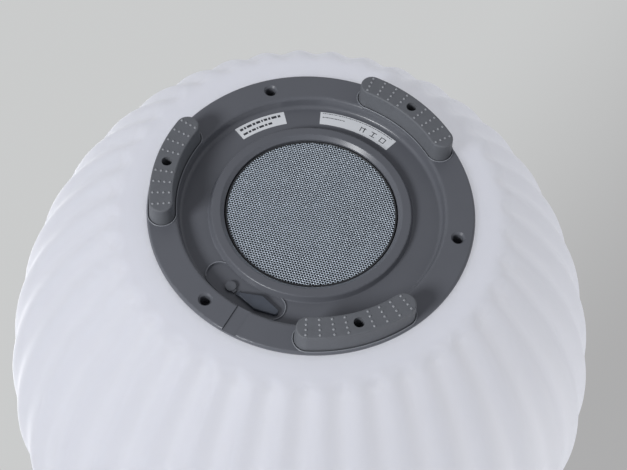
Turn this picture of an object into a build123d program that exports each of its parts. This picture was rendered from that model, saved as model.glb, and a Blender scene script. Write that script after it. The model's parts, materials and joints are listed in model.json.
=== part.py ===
from build123d import *
import math
import os

# Lantern speaker: a fluted, translucent globe that glows, with the loudspeaker in its base
# firing at the table and a cap with keys and a carrying bail on top.
# Millimetres, +Z up, origin on the table under the middle of the three feet.
# +Y is the side of the charging port.

# ---- driving dimensions -------------------------------------------------------------------
SCREW_R = 77.0          # circle of the six base screws, also the middle of the feet
FOOT_H = 12.0           # table to the base's flange face
FLANGE_R = 85.0
FLANGE_FACE_R = 84.2
EDGE_H = 2.2            # height of the flange's visible edge
FLANGE_T = 4.5          # flange thickness inside the neck
WALL = 3.0

GLOBE_R = 176.25        # largest radius, on the crest of a flute
GLOBE_B = 227.5         # half height of the full superellipse
GLOBE_E = 1.939         # its exponent
GLOBE_Z = 196.8         # height of the equator
FLUTES = 38
CREST_DEG = 3.14        # direction of one crest
FLUTE_DEPTH = 3.2
GLOBE_WALL = 5.0        # crest to cavity

NECK_R = 72.5
NECK_STEP_R = 83.5
NECK_FACE_H = 2.5       # collar level behind the flange face
NECK_SEAT_H = 5.5
NECK_TOP_H = 10.5
COLLAR_END_R = 98.0
COLLAR_END_H = 3.4

BOSS_HOLE_R = 2.75
TUBE_R = 4.4
TUBE_H = 13.0
LEDGE_H = 10.0
SHANK_R = 1.6
PILOT_R = 1.65

CHANNEL_H = 7.0         # flange face to channel floor
CHANNEL_IN_R = 53.2
CHANNEL_OUT_R = 68.6
RING_TOP_H = 3.1
RING_EDGE_R = 52.0
GRILLE_R = 44.3
GRILLE_H = 5.6
GRILLE_T = 0.8
BORE_R = 45.3

FOOT_SPAN = 23.5        # half angle to a foot's rounded end
FOOT_IN_R = 70.3
FOOT_OUT_R = 83.7
POCKET_DEPTH = 1.0
RIM_W = 1.0             # raised rim round a foot
RIM_H = 0.4
FOOT_ANGLES = (-45.4, 74.6, -165.4)
SCREW_ANGLES = tuple(14.6 + 60 * k for k in range(6))

PORT_MID = 126.5        # middle of the port pocket
PORT_R = 59.7
PORT_W = 13.4
PORT_HALF = 15.6
PORT_DEPTH = 0.8
LIP_W = 0.7             # raised lip round the pocket
LIP_H = 0.5
PORT_FLOOR = FOOT_H + CHANNEL_H + PORT_DEPTH
GROOVE_DEG = 120.15
GROOVE_W = 7.6
SOCKET_DEG = 118.2
SOCKET_R = 60.2
BUTTON_DEG = 110.3
BUTTON_R = 60.9
ANCHOR_DEG = 133.6
ANCHOR_R = 60.3
HINGE_DEG = 129.3

ROOF = FOOT_H + 10.0    # inner face of the channel
DRIVER_SEAT = ROOF + 1.5
CAP_FACE = 2 * GLOBE_Z - FOOT_H
HANDLE_R = 59.5
PIVOT_H = 6.5
HUB_R = 49.5
CAP_CHANNEL_H = 13.0
CAP_PLATE_H = 3.0
SCOOP_R = 8.0           # finger scoops beside the folded handle
SCOOP_DEPTH = 3.5
KEY_R = 8.0
KEY_CIRCLE = 26.0
KEY_PROUD = 0.8
BOARD_T = 1.6


# ---- helpers ------------------------------------------------------------------------------
def polar(radius, degrees, z=0.0):
    angle = math.radians(degrees)
    return Vector(radius * math.cos(angle), radius * math.sin(angle), z)


def disc(radius, z0, z1, at=(0.0, 0.0)):
    return Pos(at[0], at[1], (z0 + z1) / 2) * Cylinder(radius, z1 - z0)


def ring(outer, inner, z0, z1, at=(0.0, 0.0)):
    return disc(outer, z0, z1, at) - disc(inner, z0 - 1, z1 + 1, at)


def block(x, y, z0, z1, at=(0.0, 0.0), turn=0.0):
    return Pos(at[0], at[1], (z0 + z1) / 2) * Rot(0, 0, turn) * Box(x, y, z1 - z0)


def around(angles, radius, shape_at):
    """One shape for each direction, gathered into one group."""
    spots = [polar(radius, angle) for angle in angles]
    return [shape_at((spot.X, spot.Y)) for spot in spots]


def profile(corners):
    """A closed outline of (r, z, corner radius) points."""
    face = make_face(Polyline(*[(r, z) for r, z, _ in corners], close=True))
    for r, z, radius in corners:
        if radius > 0:
            corner = min(face.vertices(), key=lambda v: abs(v.X - r) + abs(v.Y - z))
            face = fillet(corner, radius)
    return face


def revolved(corners):
    return revolve(Plane.XZ * profile(corners), Axis.Z)


def arc_slot(radius, width, middle, half, z0, z1):
    centre_line = CenterArc((0, 0), radius, middle - half, 2 * half)
    return extrude(Pos(0, 0, z0) * SlotArc(centre_line, width), amount=z1 - z0)


def arc_strip(r0, r1, a0, a1, z0, z1):
    edges = [
        CenterArc((0, 0), r1, a0, a1 - a0),
        CenterArc((0, 0), r0, a0, a1 - a0),
        Line(polar(r0, a0), polar(r1, a0)),
        Line(polar(r0, a1), polar(r1, a1)),
    ]
    return extrude(Pos(0, 0, z0) * make_face(edges), amount=z1 - z0)


def screw(at, tip, seat, shank_r, head_r, head_h, up=1):
    """A pan-head screw; its head stands off the seat against the way it is driven (up = 1 or -1)."""
    head_end = seat - up * head_h
    body = disc(head_r, min(seat, head_end), max(seat, head_end), at)
    body += disc(shank_r, min(seat, tip), max(seat, tip), at)
    drive = block(head_r * 1.2, 0.7, -0.8, 0.8) + block(0.7, head_r * 1.2, -0.8, 0.8)
    return body - Pos(at[0], at[1], head_end) * drive


def lead(points, radii, diameter):
    """A round cable along straight runs joined by tangent arcs."""
    route = FilletPolyline(*points, radius=radii)
    start = Plane(origin=route @ 0, z_dir=route % 0)
    return sweep(start * Circle(diameter / 2), path=route)


def mirrored(z):
    """The height at the top that matches a height at the base."""
    return 2 * GLOBE_Z - z


# ---- globe --------------------------------------------------------------------------------
def globe_radius(z, shrink=0.0):
    share = abs(z - GLOBE_Z) / (GLOBE_B - shrink)
    return (GLOBE_R - shrink) * (1 - share ** GLOBE_E) ** (1 / GLOBE_E)


def globe_section(z, radius, depth):
    """One closed curve round the globe: convex lobes that meet in narrow valleys."""
    points_per_flute = 6
    count = FLUTES * points_per_flute
    points = []
    for k in range(count):
        angle = 2 * math.pi * k / count
        lobe = math.sqrt(0.97 * math.cos(FLUTES / 2 * angle) ** 2 + 0.03)
        points.append(polar(radius - depth * (1 - lobe), math.degrees(angle) + CREST_DEG, z))
    knots = [k / count for k in range(count + 1)]
    return Wire([Edge.make_spline(points, periodic=True, parameters=knots)])


def globe_solid():
    start = FOOT_H + COLLAR_END_H
    lower = [(start, COLLAR_END_R, 0.0), (start + 0.6, 102.2, 0.3), (start + 1.8, 105.2, 1.2)]
    for rise, share in ((4.0, 0.62), (8.0, 0.9), (14.0, 1.0), (24.0, 1.0), (40.0, 1.0),
                        (64.0, 1.0), (96.0, 1.0), (136.0, 1.0)):
        z = start + rise
        lower.append((z, globe_radius(z), FLUTE_DEPTH * share))
    stations = lower + [(GLOBE_Z, GLOBE_R, FLUTE_DEPTH)]
    stations += [(mirrored(z), radius, depth) for z, radius, depth in reversed(lower)]
    return Solid.make_loft([globe_section(*station) for station in stations])


def globe_cavity():
    low = FOOT_H + NECK_TOP_H
    steps = 24
    points = [(globe_radius(low + (mirrored(low) - low) * k / steps, GLOBE_WALL),
               low + (mirrored(low) - low) * k / steps) for k in range(steps + 1)]
    outline = [Line((0, low), points[0]), Spline(*points), Line(points[-1], (0, mirrored(low))),
               Line((0, mirrored(low)), (0, low))]
    return revolve(Plane.XZ * make_face(outline), Axis.Z)


def neck():
    """The collar plate round the base opening, with the seat for the base's flange."""
    return revolved([
        (NECK_R, FOOT_H + NECK_SEAT_H, 0), (NECK_STEP_R, FOOT_H + NECK_SEAT_H, 0),
        (NECK_STEP_R, FOOT_H + NECK_FACE_H, 0), (FLANGE_R + 1, FOOT_H + NECK_FACE_H, 0),
        (COLLAR_END_R + 0.2, FOOT_H + COLLAR_END_H, 0),
        (COLLAR_END_R + 0.2, FOOT_H + NECK_TOP_H, 0), (NECK_R, FOOT_H + NECK_TOP_H, 0)])


def lantern_body():
    low_neck = neck()
    top_neck = Pos(0, 0, 2 * GLOBE_Z) * Rot(180, 0, 0) * low_neck
    body = globe_solid() - globe_cavity()
    body = body - disc(NECK_STEP_R, 0, FOOT_H + NECK_SEAT_H)
    body = body - disc(NECK_STEP_R, mirrored(FOOT_H + NECK_SEAT_H), mirrored(0))
    body = body - disc(NECK_R, 0, mirrored(0))
    body = body + low_neck + top_neck
    for boss in around(SCREW_ANGLES, SCREW_R, lambda at: disc(6.5, FOOT_H + NECK_TOP_H, 42, at)):
        body = body + boss
    for at in [polar(SCREW_R, angle) for angle in SCREW_ANGLES]:
        spot = (at.X, at.Y)
        body = body - disc(TUBE_R + 0.4, FOOT_H, FOOT_H + TUBE_H + 0.3, spot)
        body = body - disc(PILOT_R, FOOT_H, 40, spot)
        body = body - disc(2.1, mirrored(FOOT_H + NECK_TOP_H + 1), mirrored(FOOT_H), spot)
    return body


# ---- base ---------------------------------------------------------------------------------
def base_blank():
    floor = FOOT_H + CHANNEL_H
    return revolved([
        (BORE_R, FOOT_H + 5.0, 0), (47.4, FOOT_H + RING_TOP_H, 0.8),
        (RING_EDGE_R, FOOT_H + RING_TOP_H, 1.0), (CHANNEL_IN_R, floor, 0.9),
        (CHANNEL_OUT_R, floor, 2.2), (69.2, FOOT_H, 1.9),
        (FLANGE_FACE_R, FOOT_H, 1.0), (FLANGE_R, FOOT_H + 1.2, 0.4),
        (FLANGE_R, FOOT_H + EDGE_H, 0), (NECK_STEP_R - 0.3, FOOT_H + EDGE_H, 0),
        (NECK_STEP_R - 0.3, FOOT_H + FLANGE_T, 0), (NECK_R - 0.6, FOOT_H + FLANGE_T, 0),
        (NECK_R - 0.6, ROOF, 0), (54.0, ROOF, 0), (54.0, DRIVER_SEAT, 0), (47.7, DRIVER_SEAT, 0),
        (47.7, DRIVER_SEAT - GRILLE_T, 0), (BORE_R, DRIVER_SEAT - GRILLE_T, 0)])


def foot_slot(angle, margin, z0, z1):
    """The rounded arc of a foot, grown by a margin."""
    middle_r = (FOOT_IN_R + FOOT_OUT_R) / 2
    width = FOOT_OUT_R - FOOT_IN_R
    half = FOOT_SPAN - math.degrees(width / 2 / middle_r)
    return arc_slot(middle_r, width + 2 * margin, angle, half, z0, z1)


def base_housing():
    floor = FOOT_H + CHANNEL_H
    body = base_blank() + arc_slot(PORT_R, PORT_W + 2 * LIP_W, PORT_MID, PORT_HALF, floor - LIP_H, floor + 1)
    for angle in FOOT_ANGLES:
        rim = foot_slot(angle, RIM_W, FOOT_H - RIM_H, FOOT_H + 1.6)
        body = body + fillet(rim.edges().group_by(Axis.Z)[0], RIM_H * 0.75)
    for angle in FOOT_ANGLES:
        body = body - foot_slot(angle, 0.3, FOOT_H - 2, FOOT_H + POCKET_DEPTH)
    for angle in SCREW_ANGLES:
        at = polar(SCREW_R, angle)
        spot = (at.X, at.Y)
        body = body + disc(TUBE_R, FOOT_H + 2, FOOT_H + TUBE_H, spot)
        body = body - disc(BOSS_HOLE_R, FOOT_H - 1, FOOT_H + LEDGE_H, spot)
        body = body - disc(SHANK_R + 0.2, FOOT_H, FOOT_H + TUBE_H + 1, spot)
        mouth = Pos(spot[0], spot[1], FOOT_H + 0.5) * Cone(BOSS_HOLE_R + 1.1, BOSS_HOLE_R, 1.4)
        body = body - mouth
    groove = block(18, GROOVE_W, FOOT_H - 1, FOOT_H + 0.9)
    body = body - Rot(0, 0, GROOVE_DEG) * Pos(77.5, 0, 0) * groove
    body = body - arc_slot(PORT_R, PORT_W, PORT_MID, PORT_HALF, FOOT_H + 6, PORT_FLOOR)
    socket = polar(SOCKET_R, SOCKET_DEG)
    body = body - block(4.2, 10.2, PORT_FLOOR - 1, ROOF + 1, (socket.X, socket.Y), SOCKET_DEG)
    button = polar(BUTTON_R, BUTTON_DEG)
    body = body - disc(2.3, PORT_FLOOR - 1, ROOF + 1, (button.X, button.Y))
    anchor = polar(ANCHOR_R, ANCHOR_DEG)
    body = body - disc(1.5, PORT_FLOOR - 1, ROOF + 1, (anchor.X, anchor.Y))
    for spot in LUG_SPOTS:
        body = body + disc(4.0, ROOF - 0.5, LUG_Z, spot)
        body = body - disc(1.3, ROOF + 0.5, LUG_Z + 1, spot)
    for spot in DRIVER_SPOTS:
        body = body - disc(1.3, DRIVER_SEAT - 4.6, DRIVER_SEAT + 1, spot)
    return body


def foot(angle):
    """A rubber foot with a drafted side and a soft edge round its sole."""
    middle_r = (FOOT_IN_R + FOOT_OUT_R) / 2
    width = FOOT_OUT_R - FOOT_IN_R
    half = FOOT_SPAN - math.degrees(width / 2 / middle_r)
    face = SlotArc(CenterArc((0, 0), middle_r, -half, 2 * half), width)
    body = extrude(Pos(0, 0, FOOT_H + POCKET_DEPTH) * face, amount=-(FOOT_H + POCKET_DEPTH), taper=3.0)
    body = fillet(body.edges().group_by(Axis.Z)[0], 0.9)
    return Rot(0, 0, angle) * (body - disc(BOSS_HOLE_R, -1, FOOT_H + 2, (SCREW_R, 0)))


def base_screws():
    tip, seat = 38.0, FOOT_H + LEDGE_H
    return around(SCREW_ANGLES, SCREW_R, lambda at: screw(at, tip, seat, SHANK_R, 2.6, 2.2))


def base_seal():
    return seal_ring(FOOT_H + FLANGE_T, FOOT_H + NECK_SEAT_H)


def seal_ring(z0, z1):
    body = ring(82.2, 73.0, z0, z1)
    for angle in SCREW_ANGLES:
        at = polar(SCREW_R, angle)
        body = body - disc(TUBE_R + 0.25, z0 - 1, z1 + 1, (at.X, at.Y))
    return body


def speaker_grille():
    low = FOOT_H + GRILLE_H
    high = DRIVER_SEAT
    return revolved([
        (0, low, 0), (GRILLE_R, low, 1.0), (GRILLE_R, high - GRILLE_T, 0),
        (47.3, high - GRILLE_T, 0), (47.3, high, 0), (GRILLE_R - GRILLE_T, high, 0),
        (GRILLE_R - GRILLE_T, low + GRILLE_T, 0.3), (0, low + GRILLE_T, 0)])


def grille_cloth():
    low = FOOT_H + GRILLE_H + GRILLE_T + 0.05
    return disc(GRILLE_R - GRILLE_T - 0.5, low, low + 0.3)


def label(inner_r, a0, a1):
    floor = FOOT_H + CHANNEL_H
    return arc_strip(inner_r, inner_r + 8.0, a0, a1, floor - 0.2, floor)


# ---- charging port ------------------------------------------------------------------------
PLUG_LOW = FOOT_H + 5.6
PLUG_HIGH = PORT_FLOOR - 0.1
STRAP_LOW = PLUG_HIGH - 1.1
STRAP_IN_R = 60.0
STRAP_OUT_R = 62.2


def hull_of(spots):
    """The outline stretched round circles given as (radius on the base, direction, size)."""
    circles = [Pos(polar(r, a).X, polar(r, a).Y) * Circle(size) for r, a, size in spots]
    return make_hull([edge for circle in circles for edge in circle.edges()])


def port_plug():
    """The rubber cover of the port: a leaf with a stem that fills the socket's well."""
    leaf_outline = hull_of(((60.4, 122.2, 2.6), (SOCKET_R, 117.2, 4.2), (61.6, 108.6, 1.8)))
    neck_outline = hull_of(((60.4, 122.2, 2.6), (61.1, 127.0, 1.1)))
    outline = leaf_outline + neck_outline
    leaf = extrude(Pos(0, 0, PLUG_LOW) * outline, amount=PLUG_HIGH - PLUG_LOW)
    leaf = fillet(leaf.edges().group_by(Axis.Z)[0], 0.6)
    strap = arc_strip(STRAP_IN_R, STRAP_OUT_R, 126.0, HINGE_DEG - 0.2, STRAP_LOW, PLUG_HIGH)
    at = polar(SOCKET_R, SOCKET_DEG)
    stem = block(2.2, 7.4, PLUG_HIGH - 0.5, PLUG_HIGH + 1.2, (at.X, at.Y), SOCKET_DEG)
    return leaf + strap + stem


def plug_anchor():
    """The fixed end of the plug's strap, with its barbed stem through the floor."""
    at = polar(ANCHOR_R, ANCHOR_DEG)
    spot = (at.X, at.Y)
    head = disc(3.0, PLUG_HIGH - 1.6, PLUG_HIGH, spot)
    head = fillet(head.edges().group_by(Axis.Z)[0], 0.6)
    stem = disc(1.4, PLUG_HIGH - 0.5, ROOF + 1.5, spot) + disc(2.0, ROOF + 0.1, ROOF + 1.2, spot)
    strap = arc_strip(STRAP_IN_R, STRAP_OUT_R, HINGE_DEG + 0.75, ANCHOR_DEG, STRAP_LOW, PLUG_HIGH)
    return head + stem + strap


PORT_BOARD_Z = 31.0


def port_board():
    return arc_strip(55.0, 65.0, 104.0, 130.0, PORT_BOARD_Z, PORT_BOARD_Z + BOARD_T)


def charge_socket():
    """A metal receptacle whose mouth faces the table through the floor's slot."""
    at = polar(SOCKET_R, SOCKET_DEG)
    spot = (at.X, at.Y)
    low = ROOF + 0.3
    shell = block(3.2, 8.9, low, PORT_BOARD_Z, spot, SOCKET_DEG)
    mouth = block(2.6, 8.3, low - 1, PORT_BOARD_Z - 1.5, spot, SOCKET_DEG)
    tongue = block(0.7, 6.7, low + 1, PORT_BOARD_Z - 1, spot, SOCKET_DEG)
    return shell - mouth + tongue


def power_button():
    at = polar(BUTTON_R, BUTTON_DEG)
    spot = (at.X, at.Y)
    return disc(2.0, PORT_FLOOR + 0.9, 24.4, spot) + disc(3.0, ROOF + 0.3, ROOF + 1.2, spot)


def tact_switch(at, z_board, turn, up=1):
    """A small key switch; up = -1 hangs it under its board."""
    body = block(6, 6, min(z_board, z_board + up * 3.5), max(z_board, z_board + up * 3.5), at, turn)
    tip = z_board + up * 4.4
    return body + disc(1.7, min(z_board, tip), max(z_board, tip), at)


def power_switch():
    at = polar(BUTTON_R, BUTTON_DEG)
    spot = (at.X, at.Y)
    body = block(5, 5, 26.6, PORT_BOARD_Z, spot, BUTTON_DEG)
    return body + disc(1.6, 25.2, 27.0, spot)


# ---- loudspeaker --------------------------------------------------------------------------
SEAT = DRIVER_SEAT
DRIVER_SPOTS = [(polar(50.2, a).X, polar(50.2, a).Y) for a in (45, 135, 225, 315)]


def driver_gasket():
    body = ring(52.6, 44.9, SEAT, SEAT + 1)
    for spot in DRIVER_SPOTS:
        body = body - disc(1.8, SEAT - 1, SEAT + 2, spot)
    return body


def driver_basket():
    """The pressed frame: a mounting flange, a cone with windows and a plate for the magnet."""
    body = revolved([
        (44.9, SEAT + 1, 0), (53.0, SEAT + 1, 0), (53.0, SEAT + 2.5, 0), (46.6, SEAT + 2.5, 0),
        (36.6, 44.0, 0), (36.6, 46.0, 0), (14.0, 46.0, 0), (14.0, 44.5, 0), (35.0, 44.5, 0),
        (43.5, SEAT + 4.7, 0), (42.6, SEAT + 4.7, 0), (42.6, SEAT + 3.5, 0), (44.9, SEAT + 3.5, 0)])
    for k in range(6):
        body = body - Rot(0, 0, 60 * k) * Pos(40, 0, 36) * Box(14, 20, 9)
    for spot in DRIVER_SPOTS:
        body = body - disc(1.7, SEAT, SEAT + 4, spot)
    return body


def driver_screws():
    tip, seat = SEAT - 4.0, SEAT + 2.5
    return [screw(spot, tip, seat, 1.3, 2.4, 1.6, up=-1) for spot in DRIVER_SPOTS]


def front_plate():
    return ring(27.0, 13.8, 46, 50)


def magnet():
    return ring(30.0, 17.0, 50, 62)


def yoke():
    return disc(28.0, 62, 66) + disc(12.2, 46.5, 62)


def voice_coil():
    return ring(12.9, 12.6, 37.5, 52) + ring(13.3, 12.9, 45, 51)


def speaker_cone():
    return revolved([(13.0, 39.0, 0), (38.6, 27.2, 0), (38.6, 27.8, 0), (13.0, 39.7, 0)])


def dust_cap():
    centre_z = 38.2
    shell = Sphere(15.0) - Sphere(14.6)
    dome = Pos(0, 0, centre_z + 7.6) * shell
    return dome & disc(12.5, 20, centre_z - 0.8)


def surround():
    """The rubber half roll between the cone's edge and the frame."""
    roll = ring(42.6, 38.7, 25.6, 26.0) + ring(44.6, 42.6, 26.0, 26.9) + ring(38.7, 37.6, 25.9, 26.9)
    return roll + ring(42.6, 42.2, 25.6, 26.6) + ring(38.9, 38.5, 25.6, 26.6)


def spider():
    """The corrugated suspension that centres the coil."""
    steps = [13.4 + 2.4 * k for k in range(8)]
    lower = [(r, 42.2 + 0.9 * (k % 2), 0) for k, r in enumerate(steps)]
    upper = [(r, z + 0.5, 0) for r, z, _ in reversed(lower)]
    return revolved(lower + upper) + ring(32.0, 30.0, 43.0, 44.5)


def terminal_strip():
    base = block(12, 4, 46, 48, (0, -33))
    tags = [block(2.4, 0.8, 48, 52, (x, -33)) for x in (-3.5, 3.5)]
    return base + tags[0] + tags[1]


# ---- sealed chamber with the battery and electronics --------------------------------------
CHAMBER_R = 68.0
CHAMBER_TOP = 108.0
LUG_Z = 32.0
LUG_ANGLES = (10.0, 190.0, 280.0)
LUG_SPOTS = [(polar(59.5, a).X, polar(59.5, a).Y) for a in LUG_ANGLES]
SHELF_Z = 70.0
SHELF_ANGLES = (60.0, 170.0, 305.0)
SHELF_SPOTS = [(polar(59.5, a).X, polar(59.5, a).Y) for a in SHELF_ANGLES]
LID_ANGLES = (30.0, 150.0, 250.0)
LID_SPOTS = [(polar(61.0, a).X, polar(61.0, a).Y) for a in LID_ANGLES]
MAIN_Z = 98.0
BOARD_SPOTS = [(x, y) for x in (-35, 35) for y in (-25, 25)]
LED_Z = 114.0
LED_SPOTS = [(polar(32, a).X, polar(32, a).Y) for a in (45, 135, 225, 315)]


def wall_lug(angle, z0, z1):
    lug = Pos(61.5, 0, (z0 + z1) / 2) * Box(9.5, 9, z1 - z0)
    return Rot(0, 0, angle) * lug


def chamber_wall():
    body = ring(CHAMBER_R, CHAMBER_R - 2.5, ROOF, CHAMBER_TOP)
    for angle, spot in zip(LUG_ANGLES, LUG_SPOTS):
        body = body + wall_lug(angle, LUG_Z, LUG_Z + 3) - disc(1.7, LUG_Z - 1, LUG_Z + 4, spot)
    for angle, spot in zip(SHELF_ANGLES, SHELF_SPOTS):
        body = body + wall_lug(angle, SHELF_Z - 10, SHELF_Z) - disc(1.4, SHELF_Z - 9, SHELF_Z + 1, spot)
    for spot in LID_SPOTS:
        body = body + disc(4.8, 90, 104, spot) - disc(1.4, 92, 105, spot)
    return body


def chamber_lid():
    body = disc(CHAMBER_R, CHAMBER_TOP, CHAMBER_TOP + 2.5)
    body = body + ring(65.2, 62.8, CHAMBER_TOP - 3, CHAMBER_TOP + 0.5)
    for spot in LID_SPOTS:
        body = body - disc(1.8, 100, 115, spot)
        body = body - disc(5.2, CHAMBER_TOP - 4, CHAMBER_TOP, spot)
    body = body - disc(3.0, 100, 115) - disc(2.4, 100, 115, (0, 21))
    return body


def battery_shelf():
    body = disc(65.0, SHELF_Z, SHELF_Z + 2)
    for spot in SHELF_SPOTS:
        body = body - disc(1.8, SHELF_Z - 1, SHELF_Z + 3, spot)
    for spot in LID_SPOTS:
        body = body - disc(5.2, SHELF_Z - 1, SHELF_Z + 3, spot)
    port = polar(60.2, 118.0)
    for spot in ((port.X, port.Y), (12, -58)):
        body = body - disc(3.8, SHELF_Z - 1, SHELF_Z + 3, spot)
    return body


def chamber_screws():
    """Nine equal screws: three in the wall's lugs, three in the shelf and three in the lid."""
    seats = [(spot, LUG_Z + 3) for spot in LUG_SPOTS]
    seats += [(spot, SHELF_Z + 2) for spot in SHELF_SPOTS]
    seats += [(spot, CHAMBER_TOP + 2.5) for spot in LID_SPOTS]
    return [screw(spot, seat - 9, seat, 1.3, 2.8, 2.0, up=-1) for spot, seat in seats]


CELL_R = 9.2
CELL_Z = SHELF_Z + 2 + CELL_R


def battery_cells():
    cells = []
    for y in (-18.6, 0.0, 18.6):
        cell = Rot(0, 90, 0) * Cylinder(CELL_R, 65)
        cell = cell + Pos(33, 0, 0) * Rot(0, 90, 0) * Cylinder(3.0, 1.4)
        cells.append(Pos(0, y, CELL_Z) * cell)
    return cells


def battery_strap():
    """A bent steel strap that holds the three cells on the shelf."""
    low, high, half = SHELF_Z + 2, CELL_Z + CELL_R + 0.1, 28.2
    top = block(14, 2 * half, high, high + 1.0)
    legs = [block(14, 1.0, low, high + 1.0, (0, side * (half + 0.5))) for side in (-1, 1)]
    feet = [block(14, 9.0, low, low + 1.0, (0, side * (half + 4.5))) for side in (-1, 1)]
    return top + legs[0] + legs[1] + feet[0] + feet[1]


def main_board():
    body = block(80, 60, MAIN_Z, MAIN_Z + BOARD_T)
    for spot in BOARD_SPOTS:
        body = body - disc(1.4, MAIN_Z - 1, MAIN_Z + 3, spot)
    return body


def board_components():
    """What is soldered under the main board: amplifier with heat sink, radio module, capacitors."""
    sink = block(18, 18, MAIN_Z - 1.2, MAIN_Z, (-20, 8)) + block(18, 18, MAIN_Z - 2.4, MAIN_Z - 1, (-20, 8))
    for k in range(5):
        sink = sink + block(1.2, 18, MAIN_Z - 5.2, MAIN_Z - 2, (-28 + 4 * k, 8))
    radio = block(18, 13, MAIN_Z - 2.4, MAIN_Z, (22, 18))
    cans = [disc(3.0, MAIN_Z - 5.6, MAIN_Z, (x, -14)) for x in (-26, -18, -10)]
    return [sink, radio] + cans


def board_standoffs():
    return [ring(2.8, 1.2, MAIN_Z + BOARD_T, CHAMBER_TOP, spot) for spot in BOARD_SPOTS]


def board_screws():
    """Equal small screws under the main board and under the key board."""
    screws = [screw(spot, MAIN_Z + 7, MAIN_Z, 1.1, 2.2, 1.5) for spot in BOARD_SPOTS]
    seat = KEY_BOARD_LOW
    return screws + [screw(spot, seat + 7, seat, 1.1, 2.2, 1.5) for spot in KEY_BOARD_SPOTS]


def led_plate():
    body = disc(50.0, LED_Z, LED_Z + 2) - disc(4.0, LED_Z - 1, LED_Z + 3)
    for spot in LED_SPOTS:
        body = body - disc(1.5, LED_Z - 1, LED_Z + 3, spot)
    return body


def led_standoffs():
    return [disc(3.0, CHAMBER_TOP + 2.5, LED_Z, spot) + disc(1.4, LED_Z - 0.5, LED_Z + 2, spot)
            + disc(2.6, LED_Z + 2, LED_Z + 3.4, spot) for spot in LED_SPOTS]


def led_chips():
    outer = [Rot(0, 0, 15 * k) * Pos(42, 0, LED_Z + 2.8) * Box(5, 5, 1.6) for k in range(24)]
    inner = [Rot(0, 0, 45 * k) * Pos(17, 0, LED_Z + 2.8) * Box(5, 5, 1.6) for k in range(8)]
    return outer + inner


# ---- wiring held inside -------------------------------------------------------------------
def speaker_lead():
    points = [(0, -36, 47.4), (0, -42, 50), (6, -53, 58), (12, -58, 70), (18, -57, 84),
              (20, -44, 92.5), (20, -30, 93.2), (20, -24, 93.4), (20, -24, MAIN_Z)]
    return lead(points, (5, 5, 5, 5, 5, 5, 2.6), 1.6)


def battery_lead():
    points = [(34.3, 0, CELL_Z), (40, 2, CELL_Z + 1), (44, 6, CELL_Z + 7), (41, 9, CELL_Z + 13),
              (36, 10, CELL_Z + 14), (36, 10, MAIN_Z)]
    return lead(points, (4.5, 4.5, 4.5, 2.0), 1.5)


def led_lead():
    return disc(1.0, MAIN_Z + BOARD_T, LED_Z, (0, 21))


def port_cable():
    def at(radius, angle, z):
        spot = polar(radius, angle)
        return (spot.X, spot.Y, z)
    points = [at(58, 118, PORT_BOARD_Z + BOARD_T), at(58, 118, 42), at(60.5, 118, 54),
              at(61, 118, 70), at(58, 116, 82), at(46, 112, 91), at(34, 108, 93.5),
              at(24, 106, 93.6), at(24, 106, MAIN_Z)]
    return lead(points, (8, 8, 8, 8, 8, 8, 2.8), 2.4)


def key_cable():
    points = [(0, 0, MAIN_Z + BOARD_T), (0, 0, 132), (5, 3, 172), (-4, 5, 216), (-5, -4, 262),
              (3, -4, 308), (0, 0, 340), (0, 0, KEY_BOARD_LOW)]
    return lead(points, 60.0, 3.4)


# ---- top cap, keys and bail ---------------------------------------------------------------
PIVOT_Z = CAP_FACE - PIVOT_H
KEY_ANGLES = (0, 90, 180, 270)
KEY_BOARD_HIGH = CAP_FACE - 14.0
KEY_BOARD_LOW = KEY_BOARD_HIGH - BOARD_T
KEY_BOARD_SPOTS = [(polar(38, a).X, polar(38, a).Y) for a in (45, 135, 225, 315)]
KEY_SPOTS = [(polar(KEY_CIRCLE, a).X, polar(KEY_CIRCLE, a).Y) for a in KEY_ANGLES]


def cap_blank():
    def z(depth):
        return CAP_FACE - depth
    floor = CAP_CHANNEL_H
    return revolved([
        (0, z(0), 0), (HUB_R, z(0), 1.6), (HUB_R, z(floor), 1.2), (CHANNEL_OUT_R + 0.4, z(floor), 2.0),
        (69.2, z(0), 1.9), (FLANGE_FACE_R, z(0), 0.6), (FLANGE_R, z(1.2), 0.4),
        (FLANGE_R, z(EDGE_H), 0), (NECK_STEP_R - 0.3, z(EDGE_H), 0),
        (NECK_STEP_R - 0.3, z(FLANGE_T), 0), (NECK_R - 0.6, z(FLANGE_T), 0),
        (NECK_R - 0.6, z(floor + WALL), 0), (HUB_R - WALL, z(floor + WALL), 0),
        (HUB_R - WALL, z(CAP_PLATE_H), 0), (0, z(CAP_PLATE_H), 0)])


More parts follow.
